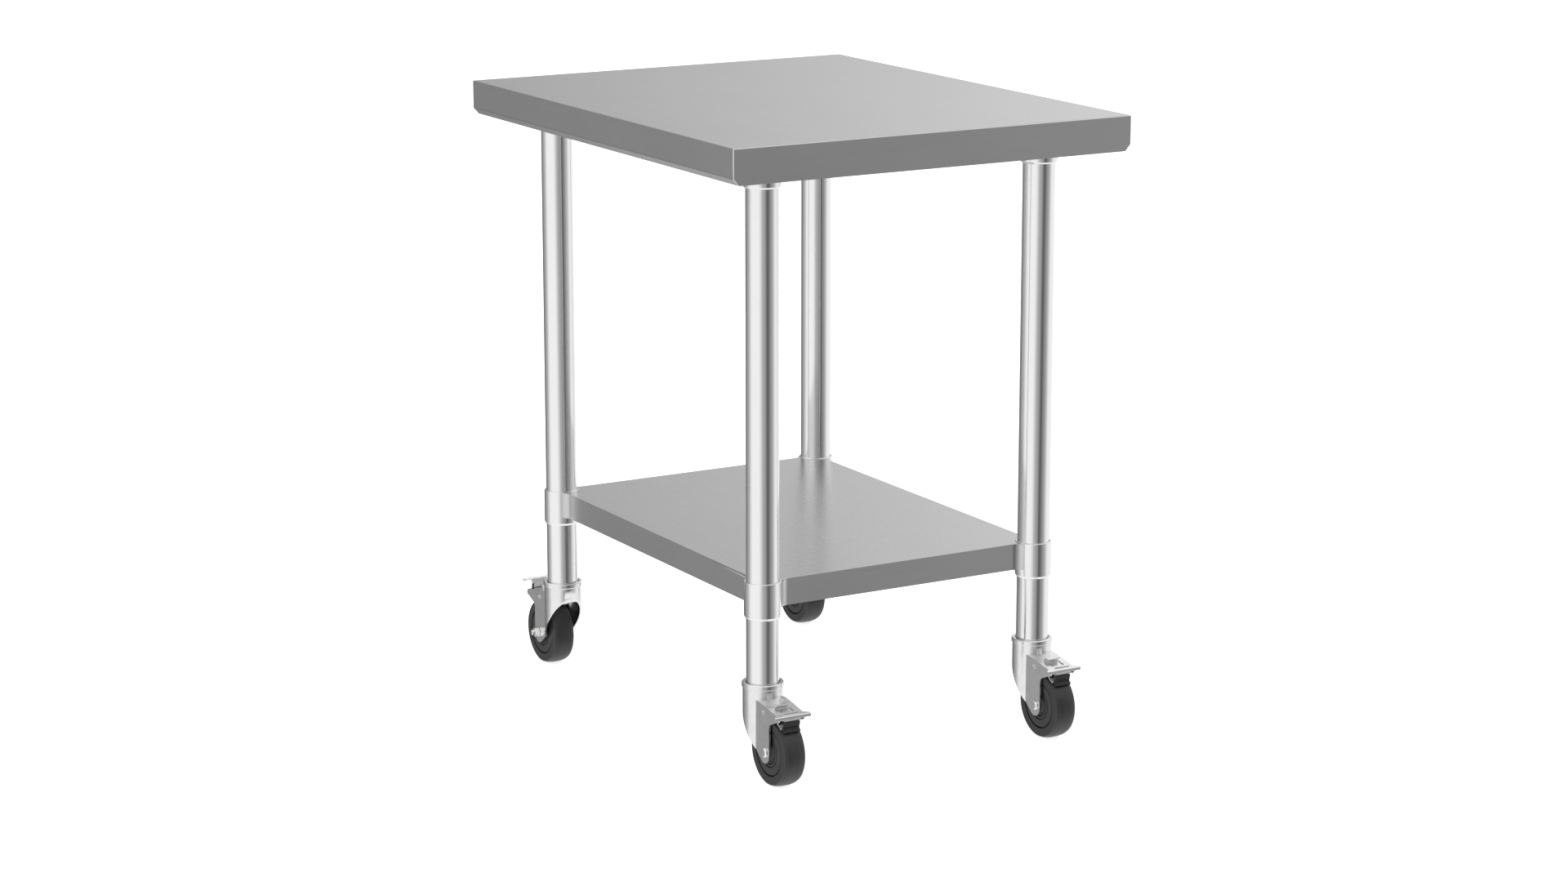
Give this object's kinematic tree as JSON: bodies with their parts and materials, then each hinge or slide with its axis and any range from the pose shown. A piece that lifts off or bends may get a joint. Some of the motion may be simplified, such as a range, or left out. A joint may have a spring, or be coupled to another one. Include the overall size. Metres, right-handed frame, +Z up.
{
  "type": "mobile work table",
  "caption": "Stainless steel work table with a bevelled-edge top, tubular legs, an undershelf and swivel casters with pedal brakes.",
  "frame": {"origin": "on the floor under the middle of the table", "axes": "+X along the length of the top, +Y to the rear along its depth, +Z up; the front is -Y"},
  "size_m": [0.7694, 0.6096, 0.8636],
  "materials": {
    "stainless_sheet": "satin stainless sheet with a fine lengthwise grain",
    "polished_tube": "bright polished stainless tube and collars",
    "galvanised_sheet": "galvanised steel with a faint spangle",
    "zinc_plate": "bright zinc plating on pressed steel",
    "tyre_rubber": "dark grey moulded rubber tread",
    "hub_plastic": "dark grey moulded hub with turned rings",
    "shoe_rubber": "black moulded brake shoe"
  },
  "bodies": {
    "frame": {"worktop": "stainless_sheet", "top_channel_left": "galvanised_sheet", "top_channel_right": "galvanised_sheet", "undershelf": "stainless_sheet", "socket_front_left": "polished_tube", "socket_screw_front_left": "zinc_plate", "leg_front_left": "polished_tube", "collar_front_left": "polished_tube", "collar_screw_front_left": "zinc_plate", "caster_stem_front_left": "zinc_plate", "socket_front_right": "polished_tube", "socket_screw_front_right": "zinc_plate", "leg_front_right": "polished_tube", "collar_front_right": "polished_tube", "collar_screw_front_right": "zinc_plate", "caster_stem_front_right": "zinc_plate", "socket_rear_left": "polished_tube", "socket_screw_rear_left": "zinc_plate", "leg_rear_left": "polished_tube", "collar_rear_left": "polished_tube", "collar_screw_rear_left": "zinc_plate", "caster_stem_rear_left": "zinc_plate", "socket_rear_right": "polished_tube", "socket_screw_rear_right": "zinc_plate", "leg_rear_right": "polished_tube", "collar_rear_right": "polished_tube", "collar_screw_rear_right": "zinc_plate", "caster_stem_rear_right": "zinc_plate"},
    "fork_front_left": {"caster_fork_front_left": "zinc_plate", "axle_bolt_front_left": "zinc_plate", "axle_nut_front_left": "zinc_plate", "brake_pivot_front_left": "zinc_plate"},
    "wheel_front_left": {"tyre_front_left": "tyre_rubber", "wheel_hub_front_left": "hub_plastic"},
    "brake_front_left": {"brake_pedal_front_left": "zinc_plate", "brake_shoe_front_left": "shoe_rubber"},
    "fork_front_right": {"caster_fork_front_right": "zinc_plate", "axle_bolt_front_right": "zinc_plate", "axle_nut_front_right": "zinc_plate", "brake_pivot_front_right": "zinc_plate"},
    "wheel_front_right": {"tyre_front_right": "tyre_rubber", "wheel_hub_front_right": "hub_plastic"},
    "brake_front_right": {"brake_pedal_front_right": "zinc_plate", "brake_shoe_front_right": "shoe_rubber"},
    "fork_rear_left": {"caster_fork_rear_left": "zinc_plate", "axle_bolt_rear_left": "zinc_plate", "axle_nut_rear_left": "zinc_plate", "brake_pivot_rear_left": "zinc_plate"},
    "wheel_rear_left": {"tyre_rear_left": "tyre_rubber", "wheel_hub_rear_left": "hub_plastic"},
    "brake_rear_left": {"brake_pedal_rear_left": "zinc_plate", "brake_shoe_rear_left": "shoe_rubber"},
    "fork_rear_right": {"caster_fork_rear_right": "zinc_plate", "axle_bolt_rear_right": "zinc_plate", "axle_nut_rear_right": "zinc_plate", "brake_pivot_rear_right": "zinc_plate"},
    "wheel_rear_right": {"tyre_rear_right": "tyre_rubber", "wheel_hub_rear_right": "hub_plastic"},
    "brake_rear_right": {"brake_pedal_rear_right": "zinc_plate", "brake_shoe_rear_right": "shoe_rubber"}
  },
  "joints": [
    {"name": "swivel_front_left", "type": "hinge", "parent": "frame", "child": "fork_front_left", "pos_m": [-0.2957, -0.2146, 0.1075], "axis": [0, 0, 1], "continuous": true},
    {"name": "wheel_spin_front_left", "type": "hinge", "parent": "fork_front_left", "child": "wheel_front_left", "pos_m": [-0.3372, -0.2146, 0.0475], "axis": [0, -1, 0], "continuous": true},
    {"name": "brake_pedal_hinge_front_left", "type": "hinge", "parent": "fork_front_left", "child": "brake_front_left", "pos_m": [-0.3327, -0.2146, 0.102], "axis": [0, 1, 0], "range_deg": [-22, 0]},
    {"name": "swivel_front_right", "type": "hinge", "parent": "frame", "child": "fork_front_right", "pos_m": [0.2957, -0.2146, 0.1075], "axis": [0, 0, 1], "continuous": true},
    {"name": "wheel_spin_front_right", "type": "hinge", "parent": "fork_front_right", "child": "wheel_front_right", "pos_m": [0.3372, -0.2146, 0.0475], "axis": [0, 1, 0], "continuous": true},
    {"name": "brake_pedal_hinge_front_right", "type": "hinge", "parent": "fork_front_right", "child": "brake_front_right", "pos_m": [0.3327, -0.2146, 0.102], "axis": [0, -1, 0], "range_deg": [0, 22]},
    {"name": "swivel_rear_left", "type": "hinge", "parent": "frame", "child": "fork_rear_left", "pos_m": [-0.2957, 0.2146, 0.1075], "axis": [0, 0, 1], "continuous": true},
    {"name": "wheel_spin_rear_left", "type": "hinge", "parent": "fork_rear_left", "child": "wheel_rear_left", "pos_m": [-0.3372, 0.2146, 0.0475], "axis": [0, -1, 0], "continuous": true},
    {"name": "brake_pedal_hinge_rear_left", "type": "hinge", "parent": "fork_rear_left", "child": "brake_rear_left", "pos_m": [-0.3327, 0.2146, 0.102], "axis": [0, 1, 0], "range_deg": [0, 22]},
    {"name": "swivel_rear_right", "type": "hinge", "parent": "frame", "child": "fork_rear_right", "pos_m": [0.2957, 0.2146, 0.1075], "axis": [0, 0, 1], "continuous": true},
    {"name": "wheel_spin_rear_right", "type": "hinge", "parent": "fork_rear_right", "child": "wheel_rear_right", "pos_m": [0.3372, 0.2146, 0.0475], "axis": [0, 1, 0], "continuous": true},
    {"name": "brake_pedal_hinge_rear_right", "type": "hinge", "parent": "fork_rear_right", "child": "brake_rear_right", "pos_m": [0.3327, 0.2146, 0.102], "axis": [0, -1, 0], "range_deg": [0, 22]}
  ]
}
